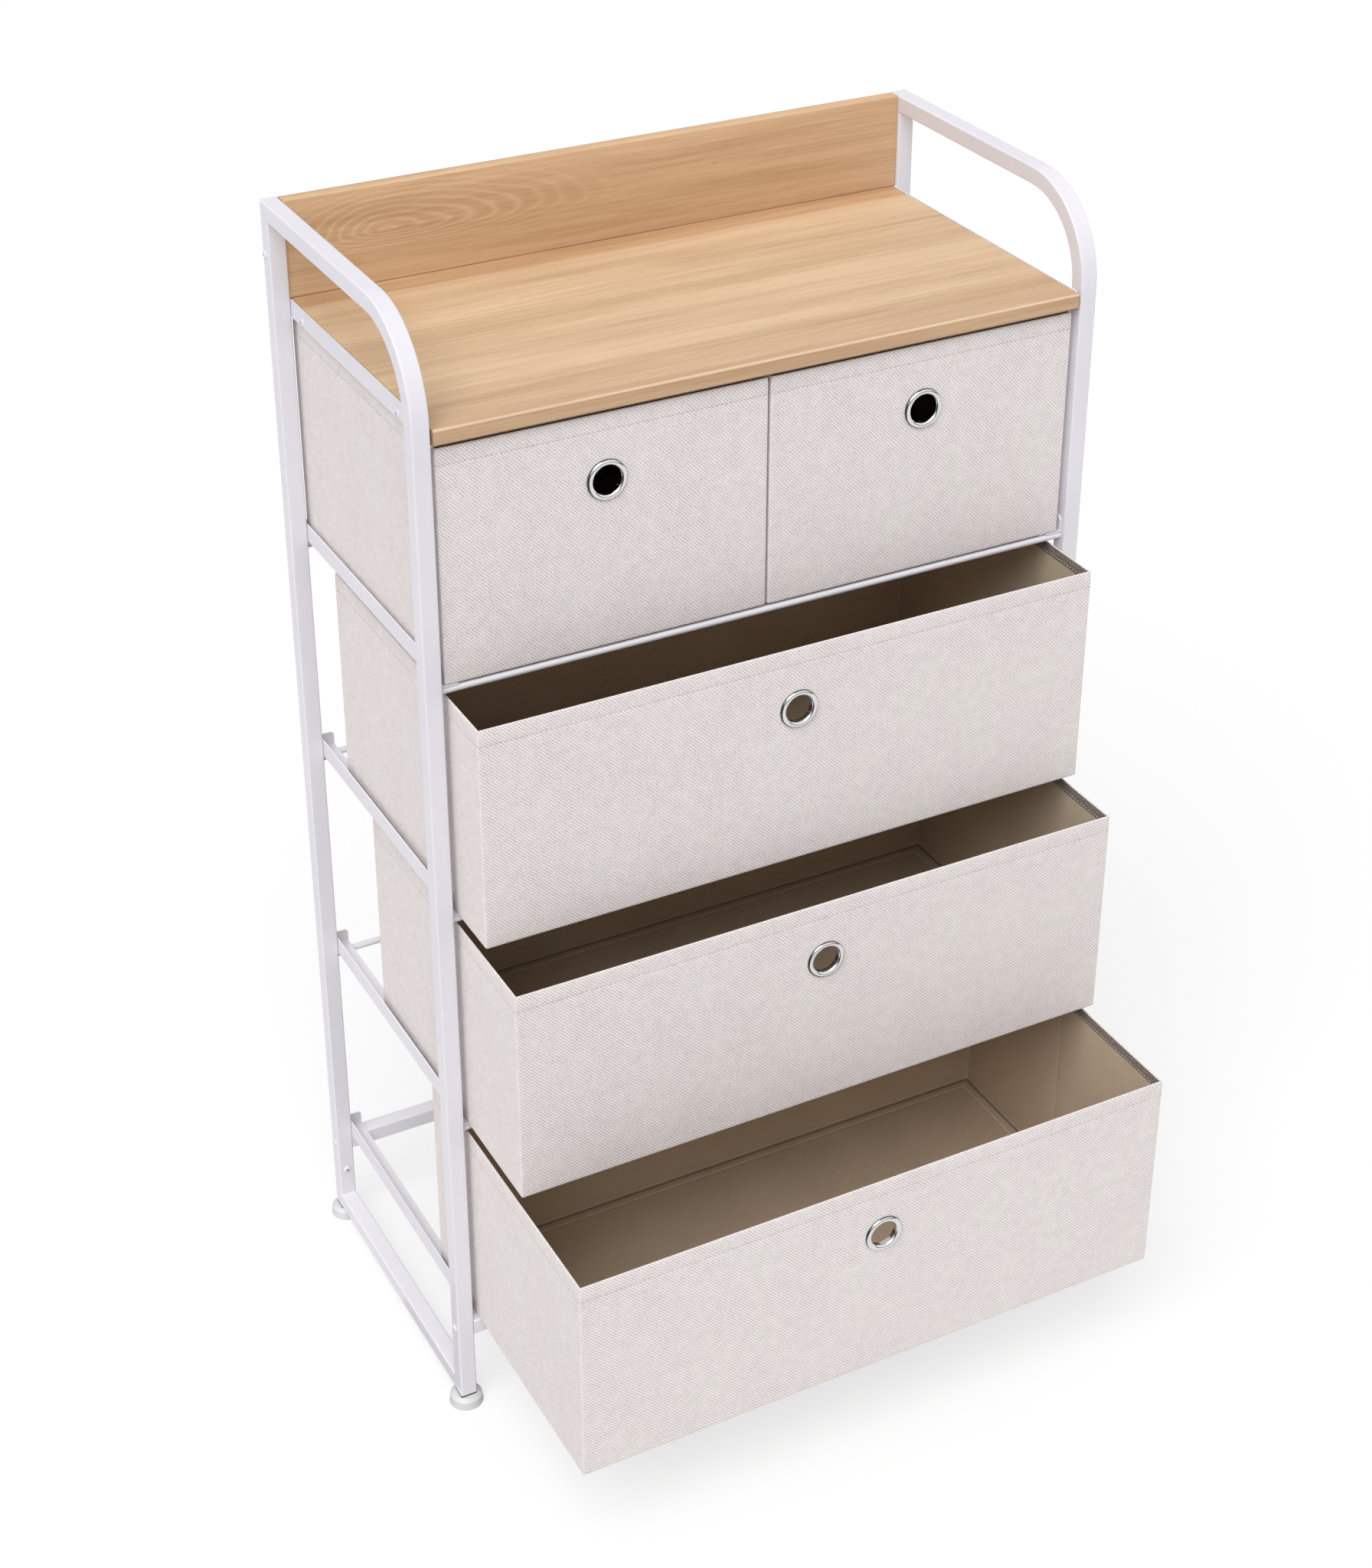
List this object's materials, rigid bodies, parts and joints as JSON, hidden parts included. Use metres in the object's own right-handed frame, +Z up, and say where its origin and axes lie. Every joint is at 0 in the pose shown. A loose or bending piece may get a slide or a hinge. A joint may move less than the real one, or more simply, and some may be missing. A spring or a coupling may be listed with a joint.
{
  "type": "fabric drawer dresser",
  "caption": "Narrow upright dresser: white square-tube frame with rounded guard hoops, wooden top and back guard, and pull-out grey-beige fabric drawers with metal finger-hole grommets.",
  "frame": {"origin": "on the floor under the middle of the frame's footprint (midway between the posts)", "axes": "X to the right seen from the front, -Y to the front, +Z up"},
  "size_m": [0.615, 0.5179, 1.029],
  "materials": {
    "frame_white": "satin white powder coat",
    "fastener_white": "satin white enamel",
    "panel_wood": "light honey wood grain, satin",
    "cover_fabric": "grey beige dotted weave",
    "lining_fabric": "smooth brown cloth",
    "stiffener_board": "plain board",
    "grommet_chrome": "polished",
    "plug_plastic": "matte black",
    "foot_plastic": "matte white"
  },
  "bodies": {
    "carcass": {"back_panel": "panel_wood", "centre_runner": "frame_white", "front_crossbar": "frame_white", "front_rod_1": "frame_white", "front_rod_2": "frame_white", "front_rod_3": "frame_white", "left_bottom_rail": "frame_white", "left_hoop": "frame_white", "left_rear_post": "frame_white", "left_runner_1": "frame_white", "left_runner_2": "frame_white", "left_runner_3": "frame_white", "left_runner_4": "frame_white", "left_top_support": "frame_white", "long_bolts": "fastener_white", "post_plugs": "plug_plastic", "rear_crossbar": "frame_white", "rear_rod_1": "frame_white", "rear_rod_2": "frame_white", "rear_rod_3": "frame_white", "right_bottom_rail": "frame_white", "right_hoop": "frame_white", "right_rear_post": "frame_white", "right_runner_1": "frame_white", "right_runner_2": "frame_white", "right_runner_3": "frame_white", "right_runner_4": "frame_white", "right_top_support": "frame_white", "short_screws": "fastener_white", "top_panel": "panel_wood"},
    "top_left_drawer": {"top_left_boards": "stiffener_board", "top_left_cover": "cover_fabric", "top_left_front_board": "stiffener_board", "top_left_grommet": "grommet_chrome", "top_left_lining": "lining_fabric"},
    "top_right_drawer": {"top_right_boards": "stiffener_board", "top_right_cover": "cover_fabric", "top_right_front_board": "stiffener_board", "top_right_grommet": "grommet_chrome", "top_right_lining": "lining_fabric"},
    "upper_drawer": {"upper_boards": "stiffener_board", "upper_cover": "cover_fabric", "upper_front_board": "stiffener_board", "upper_grommet": "grommet_chrome", "upper_lining": "lining_fabric"},
    "middle_drawer": {"middle_boards": "stiffener_board", "middle_cover": "cover_fabric", "middle_front_board": "stiffener_board", "middle_grommet": "grommet_chrome", "middle_lining": "lining_fabric"},
    "lower_drawer": {"lower_boards": "stiffener_board", "lower_cover": "cover_fabric", "lower_front_board": "stiffener_board", "lower_grommet": "grommet_chrome", "lower_lining": "lining_fabric"},
    "front_left_foot": {"front_left_foot": "foot_plastic"},
    "front_right_foot": {"front_right_foot": "foot_plastic"},
    "rear_left_foot": {"rear_left_foot": "foot_plastic"},
    "rear_right_foot": {"rear_right_foot": "foot_plastic"}
  },
  "joints": [
    {"name": "top_left_slide", "type": "slide", "parent": "carcass", "child": "top_left_drawer", "axis": [0, -1, 0], "range_m": [0, 0.23]},
    {"name": "top_right_slide", "type": "slide", "parent": "carcass", "child": "top_right_drawer", "axis": [0, -1, 0], "range_m": [0, 0.23]},
    {"name": "upper_slide", "type": "slide", "parent": "carcass", "child": "upper_drawer", "axis": [0, -1, 0], "range_m": [-0.055, 0.175]},
    {"name": "middle_slide", "type": "slide", "parent": "carcass", "child": "middle_drawer", "axis": [0, -1, 0], "range_m": [-0.108, 0.122]},
    {"name": "lower_slide", "type": "slide", "parent": "carcass", "child": "lower_drawer", "axis": [0, -1, 0], "range_m": [-0.213, 0.017]},
    {"name": "front_left_foot_thread", "type": "slide", "parent": "carcass", "child": "front_left_foot", "axis": [0, 0, -1], "range_m": [0, 0.008]},
    {"name": "front_right_foot_thread", "type": "slide", "parent": "carcass", "child": "front_right_foot", "axis": [0, 0, -1], "range_m": [0, 0.008]},
    {"name": "rear_left_foot_thread", "type": "slide", "parent": "carcass", "child": "rear_left_foot", "axis": [0, 0, -1], "range_m": [0, 0.008]},
    {"name": "rear_right_foot_thread", "type": "slide", "parent": "carcass", "child": "rear_right_foot", "axis": [0, 0, -1], "range_m": [0, 0.008]}
  ]
}
